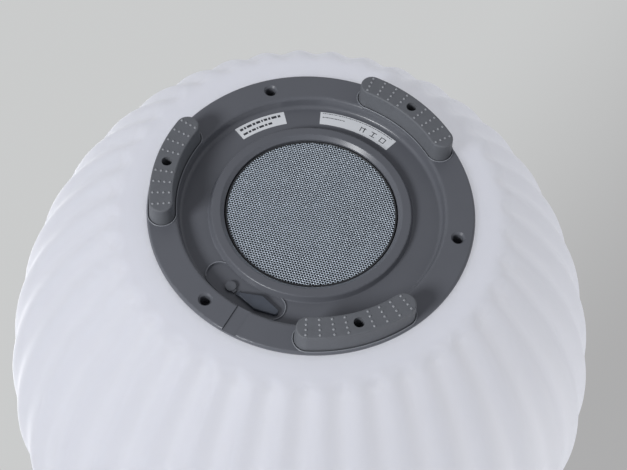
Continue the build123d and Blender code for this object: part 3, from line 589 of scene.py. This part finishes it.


# ---- rims round the feet and the port's pocket, with a painted highlight ------------------------
FOOT_RIM_HALF_WIDTH = 7.35 * MM
FOOT_RIM_HALF_SPAN = 18.5      # degrees from a foot's middle to the centre of its rim's rounded end
PORT_R, PORT_ANGLE = 59.7 * MM, 126.5    # place of the pocket's middle
PORT_RIM_HALF_WIDTH = 7.1 * MM
PORT_RIM_HALF_SPAN = 15.6
PORT_RIM_H = 6.5 * MM          # above the flange's face
PORT_RIM_REACH = 64            # degrees of each rounded end that the rim follows, to each side
BEAD_R = 0.24 * MM
BEAD_SIDES = 8
END_STEPS = 24
SIDE_STEPS = 40


def slot_outline(middle_r, half_width, middle, half_span):
    """Points round a slot that follows a circle, each with its outward direction."""
    points = []
    for side in (1, -1):
        for k in range(SIDE_STEPS):
            angle = middle - side * half_span + side * 2 * half_span * k / SIDE_STEPS
            points.append((polar(middle_r + side * half_width, angle), side * polar(1.0, angle)))
        end = middle + side * half_span
        for k in range(END_STEPS):
            out = side * polar(1.0, end + 180 * k / END_STEPS)
            points.append((polar(middle_r, end) + half_width * out, out))
    return points


def bead(outline, z):
    """Rings of points round a path of places and outward directions."""
    vertices = []
    for at, out in outline:
        for k in range(BEAD_SIDES):
            turn = -2 * math.pi * k / BEAD_SIDES
            spot = at + BEAD_R * math.cos(turn) * out
            vertices.append((spot.x, spot.y, z + BEAD_R * math.sin(turn)))
    return vertices


def port_rim_end(side):
    """The closed bead round one rounded end of the pocket, as vertices and faces."""
    centre = polar(PORT_R, PORT_ANGLE + side * PORT_RIM_HALF_SPAN)
    ahead = PORT_ANGLE + side * (PORT_RIM_HALF_SPAN + 90)
    turns = [ahead + PORT_RIM_REACH * (2 * k / END_STEPS - 1) for k in range(END_STEPS + 1)]
    path = [(centre + PORT_RIM_HALF_WIDTH * polar(1, turn), polar(1, turn)) for turn in turns]
    vertices = bead(path, FLANGE_Z + PORT_RIM_H)
    faces = ring_faces(len(path), BEAD_SIDES, closed=False)
    faces.append(tuple(reversed(range(BEAD_SIDES))))
    faces.append(tuple(range(END_STEPS * BEAD_SIDES, (END_STEPS + 1) * BEAD_SIDES)))
    return vertices, faces


def build_rims():
    """A fine rounded bead on each moulded rim, paler than the housing: the bead follows the real
    rim, and its pale tone is a painted highlight where the rim catches the light.
    """
    for foot, middle in FOOT_ANGLES.items():
        outline = slot_outline(SCREW_R, FOOT_RIM_HALF_WIDTH, middle, FOOT_RIM_HALF_SPAN)
        new_piece(f"{foot}_rim", bead(outline, FLANGE_Z - FOOT_RIM_H),
                  ring_faces(len(outline), BEAD_SIDES), "housing_plastic", finish="polished_rim")
    ends = [port_rim_end(side) for side in (1, -1)]
    new_piece("port_rim", *joined(ends), "housing_plastic", finish="polished_rim")


build_rims()


# ---- print on the labels ------------------------------------------------------------------------
INK_T = 0.02 * MM
LEFT_R, RIGHT_R = 62.3 * MM, 61.4 * MM   # circles through the middles of the two labels
LEFT_START, RIGHT_START = -125.3, -82.8  # directions in which the lines of print begin
WORDS = (1.7, 1.0, 2.6, 1.3, 2.1, 0.8)   # lengths of the bars, in degrees like the gap
WORD_GAP = 0.6
SMALL_WORDS = (0.5, 0.9, 0.35, 1.2, 0.7)
SMALL_GAP = 0.3
MARK_STARTS = (-62.5, -56.6, -50.8)


def arc_bar(r0, r1, a0, a1, z0, z1):
    """A closed bar that follows a circle, between two radii and two angles, in degree steps."""
    steps = max(2, round(a1 - a0))
    vertices = []
    for z in (z0, z1):
        for radius in (r0, r1):
            vertices += [tuple(polar(radius, a0 + (a1 - a0) * k / steps, z))
                         for k in range(steps + 1)]
    count = steps + 1
    low_in, low_out, high_in, high_out = (count * k for k in range(4))
    faces = []
    for k in range(steps):
        faces.append((low_in + k, low_in + k + 1, low_out + k + 1, low_out + k))
        faces.append((high_in + k, high_out + k, high_out + k + 1, high_in + k + 1))
        faces.append((low_in + k, high_in + k, high_in + k + 1, low_in + k + 1))
        faces.append((low_out + k, low_out + k + 1, high_out + k + 1, high_out + k))
    for k in (0, steps):
        faces.append((low_in + k, low_out + k, high_out + k, high_in + k))
    return vertices, faces


def bar_line(radius, height, start, end, lengths, gap, z):
    """A row of bars of uneven length, as a line of print that says nothing."""
    bars, angle = [], start
    while angle < end:
        length = lengths[len(bars) % len(lengths)]
        bars.append(arc_bar(radius - height / 2, radius + height / 2,
                            angle, min(end, angle + length), z - INK_T, z))
        angle += length + gap
    return bars


def mark_row(r0, r1, z):
    """A gate, a beam and an open frame in a row, each about as wide as it's high."""
    width, post, line = 3.0, 0.45, 0.4 * MM
    gate, beam, box = MARK_STARTS
    inner, outer = (r0, r0 + line), (r1 - line, r1)
    spans = [
        (r0, r1, gate, gate + post), (r0, r1, gate + 1.9, gate + 2.4),
        (r1 - 2 * line, r1 - line, gate, gate + width),
        (*inner, beam, beam + width), (*outer, beam, beam + width),
        (r0, r1, beam + 1.2, beam + 1.7),
        (*inner, box, box + width), (*outer, box, box + width),
        (r0, r1, box, box + post), (r0, r1, box + width - post, box + width)]
    return [arc_bar(*span, z - INK_T, z) for span in spans]


def build_print():
    """Unreadable stand-ins for the lines of print and the row of marks on the two labels."""
    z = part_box("left_label")[0].z
    left = bar_line(LEFT_R + 1.7 * MM, 1.5 * MM, LEFT_START, -103.6, WORDS, WORD_GAP, z)
    left += bar_line(LEFT_R - 1.6 * MM, 1.3 * MM, LEFT_START, -108.5, WORDS[2:], WORD_GAP, z)
    right = bar_line(RIGHT_R + 3.2 * MM, 0.4 * MM, RIGHT_START, -46.0, SMALL_WORDS, SMALL_GAP, z)
    right += bar_line(
        RIGHT_R + 0.6 * MM, 0.5 * MM, RIGHT_START, -71.5, SMALL_WORDS[1:], SMALL_GAP, z)
    right += mark_row(RIGHT_R - 2.3 * MM, RIGHT_R + 0.9 * MM, z)
    new_piece("left_label_print", *joined(left), "label_paper", finish="label_ink")
    new_piece("right_label_print", *joined(right), "label_paper", finish="label_ink")


build_print()


# ---- marks on the keys ------------------------------------------------------------------------
KEY_CIRCLE = 26 * MM
KEY_ANGLES = {"volume_up_key": 0, "volume_down_key": 180, "light_key": 90, "pairing_key": 270}
MARK_Z = KEY_Z - 0.55 * MM     # lower face of the marks, in the hollow of the crown
MARK_T = 0.12 * MM
SIGN_LENGTH, SIGN_W = 6 * MM, 1.1 * MM   # of the plus and the minus
THIN_W = 0.7 * MM
SUN_R, RAY_R, RAY_LENGTH, RAYS = 1.7 * MM, 3.5 * MM, 1.3 * MM, 8
HOOP_R, HOOP_SHIFT, HOOP_GAP = 2.0 * MM, 1.4 * MM, 40


def flat_bar(length, width, turn, centre):
    """A closed flat bar turned about the vertical."""
    along, across = polar(length / 2, turn), polar(width / 2, turn + 90)
    corners = [centre + s * along + t * across for s, t in ((-1, -1), (1, -1), (1, 1), (-1, 1))]
    vertices = [(c.x, c.y, z) for z in (MARK_Z, MARK_Z + MARK_T) for c in corners]
    faces = [(3, 2, 1, 0), (4, 5, 6, 7)]
    faces += [(k, (k + 1) % 4, 4 + (k + 1) % 4, 4 + k) for k in range(4)]
    return vertices, faces


def hoop(centre, radius, start, end):
    """A thin bar that follows a circle round a centre."""
    vertices, faces = arc_bar(
        radius - THIN_W / 2, radius + THIN_W / 2, start, end, MARK_Z, MARK_Z + MARK_T)
    return [(x + centre.x, y + centre.y, z) for x, y, z in vertices], faces


def plus(centre):
    return [flat_bar(SIGN_LENGTH, SIGN_W, turn, centre) for turn in (0, 90)]


def minus(centre):
    return [flat_bar(SIGN_LENGTH, SIGN_W, 0, centre)]


def sun(centre):
    rays = [flat_bar(RAY_LENGTH, THIN_W, angle, centre + polar(RAY_R, angle))
            for angle in (360 // RAYS * k for k in range(RAYS))]
    return [hoop(centre, SUN_R, 0, 360)] + rays


def open_hoops(centre):
    return [hoop(centre + Vector((side * HOOP_SHIFT, 0, 0)), HOOP_R, turn + HOOP_GAP,
                 turn + 360 - HOOP_GAP) for side, turn in ((-1, 0), (1, 180))]


def build_marks():
    """Plus, minus, a small sun and two open hoops, inlaid in the keys' hollow crowns."""
    shapes = {"volume_up_key": plus, "volume_down_key": minus, "light_key": sun,
              "pairing_key": open_hoops}
    for key, shape in shapes.items():
        parts = shape(polar(KEY_CIRCLE, KEY_ANGLES[key]))
        new_piece(f"{key}_mark", *joined(parts), "label_paper", body=key)


build_marks()


# ---- smooth shading of the frame's curved faces -------------------------------------------------
for node in nodes.values():
    if node.data.has_custom_normals:
        continue
    node.data.shade_smooth()
    node.data.set_sharp_from_angle(angle=FRAME_SMOOTH_BELOW)


# ---- floor, light and camera --------------------------------------------------------------------
FLOOR_R = 6.0
FLOOR_Z = -0.6 * MM            # just under the pips
FLOOR_TINTS = (0.60, 0.605, 0.605), (0.64, 0.645, 0.645)
FLOOR_PATCH = 0.8              # size of the floor's patches
FLOOR_ROUGH = 0.7
# Each pair for the world says where a soft change starts and ends, on a direction's x, y, z.
BACKDROP_SLANT = 1.2
BACKDROP_EDGE = (-0.60, -0.22)           # on x + BACKDROP_SLANT * y
BACKDROP_RISE = (0.3, 0.65)              # on z, from the surroundings to the backdrop overhead
LEVEL_RISE = (-1.0, -0.3)                # on z, from straight down to level
SIDE_EDGE = (-1.2, 1.2)                  # on x - y
BACKDROP_LIGHT, BACKDROP_DARK = (0.592, 0.600, 0.600), (0.415, 0.415, 0.418)
LEFT_LOW, LEFT_HIGH = (0.24, 0.245, 0.265), (0.28, 0.285, 0.30)
RIGHT_LOW, RIGHT_HIGH = (0.31, 0.315, 0.335), (0.49, 0.495, 0.515)
WHITE = (1, 1, 1)
LIT_POINT = (0, 0, 0.15)       # inside the globe; the lights face it
CAMERA_PLACE = (-0.03486, 0.37918, -0.58178)
CAMERA_RIGHT = Vector((0.9987, 0.0264, -0.0433))
CAMERA_UP = Vector((0.0, -0.8542, -0.5200))
CAMERA_FORWARD = Vector((0.0507, -0.5193, 0.8531))
CAMERA_LENS, CAMERA_SENSOR = 78.4, 36.0  # millimetres, as Blender takes them
CAMERA_NEAR = 0.05


def build_floor():
    """A pale floor that shows from above only, so that the view from below sees the base."""
    bpy.ops.mesh.primitive_circle_add(
        vertices=96, radius=FLOOR_R, fill_type="NGON", location=(0, 0, FLOOR_Z))
    floor = bpy.context.object
    floor.name = "floor"
    material = bpy.data.materials.new("floor_paint")
    material.use_nodes = True
    tree = material.node_tree
    shader = tree.nodes["Principled BSDF"]
    place = add_node(tree, "ShaderNodeTexCoord").outputs["Object"]
    tint = blend_colours(tree, noise(tree, place, FLOOR_PATCH), *FLOOR_TINTS)
    tree.links.new(tint, shader.inputs["Base Color"])
    shader.inputs["Roughness"].default_value = FLOOR_ROUGH
    clear = add_node(tree, "ShaderNodeBsdfTransparent")
    back = add_node(tree, "ShaderNodeNewGeometry").outputs["Backfacing"]
    mix = add_node(
        tree, "ShaderNodeMixShader", {0: back, 1: shader.outputs[0], 2: clear.outputs[0]})
    tree.links.new(mix.outputs[0], tree.nodes["Material Output"].inputs["Surface"])
    floor.data.materials.append(material)
    floor.visible_shadow = False
    floor.visible_diffuse = False
    floor.visible_glossy = False
    floor.visible_transmission = False


def build_world():
    """Even pale light from all round; overhead the backdrop darkens softly to one side."""
    world = bpy.data.worlds.new("studio")
    bpy.context.scene.world = world
    world.use_nodes = True
    tree = world.node_tree
    direction = add_node(tree, "ShaderNodeTexCoord").outputs["Generated"]
    x, y, z = add_node(tree, "ShaderNodeSeparateXYZ", {0: direction}).outputs
    across = math_node(tree, "ADD", x, math_node(tree, "MULTIPLY", y, BACKDROP_SLANT))
    to_dark = ramp(tree, across, *BACKDROP_EDGE)
    overhead = ramp(tree, z, *BACKDROP_RISE)
    to_level = ramp(tree, z, *LEVEL_RISE)
    to_right = ramp(tree, math_node(tree, "SUBTRACT", x, y), *SIDE_EDGE, kind="LINEAR")
    backdrop = blend_colours(tree, to_dark, BACKDROP_LIGHT, BACKDROP_DARK)
    left = blend_colours(tree, to_level, LEFT_LOW, LEFT_HIGH)
    right = blend_colours(tree, to_level, RIGHT_LOW, RIGHT_HIGH)
    around = blend_colours(tree, to_right, left, right)
    colour = blend_colours(tree, overhead, around, backdrop)
    tree.links.new(colour, tree.nodes["Background"].inputs["Color"])
    tree.nodes["Background"].inputs["Strength"].default_value = 1.0


def soft_light(name, place, size, power, colour=WHITE):
    """A round lamp of the given diameter in metres and power in watts."""
    data = bpy.data.lights.new(name, "AREA")
    data.shape = "DISK"
    data.size = size
    data.energy = power
    data.color = colour
    light = bpy.data.objects.new(name, data)
    light.location = place
    light.rotation_mode = "QUATERNION"
    light.rotation_quaternion = (Vector(LIT_POINT) - Vector(place)).to_track_quat("-Z", "Y")
    light.visible_camera = False
    bpy.context.scene.collection.objects.link(light)


def build_camera():
    """Below the table and behind the port side, looking up at the base."""
    data = bpy.data.cameras.new("camera")
    data.sensor_width = CAMERA_SENSOR
    data.lens = CAMERA_LENS
    data.clip_start = CAMERA_NEAR
    camera = bpy.data.objects.new("camera", data)
    turn = Matrix((CAMERA_RIGHT, CAMERA_UP, -CAMERA_FORWARD)).transposed().to_quaternion()
    camera.rotation_mode = "QUATERNION"
    camera.rotation_quaternion = turn
    camera.location = CAMERA_PLACE
    bpy.context.scene.collection.objects.link(camera)
    bpy.context.scene.camera = camera


bpy.context.scene.view_settings.view_transform = "Standard"
build_floor()
build_world()
soft_light("window_side", (-1.10, 0.94, -0.91), 0.52, 20.5, (0.97, 0.98, 1.0))
soft_light("overhead", (-0.5, -0.9, 1.7), 1.2, 22.0)
soft_light("fill", (1.3, 0.4, 0.9), 1.0, 8.0)
build_camera()
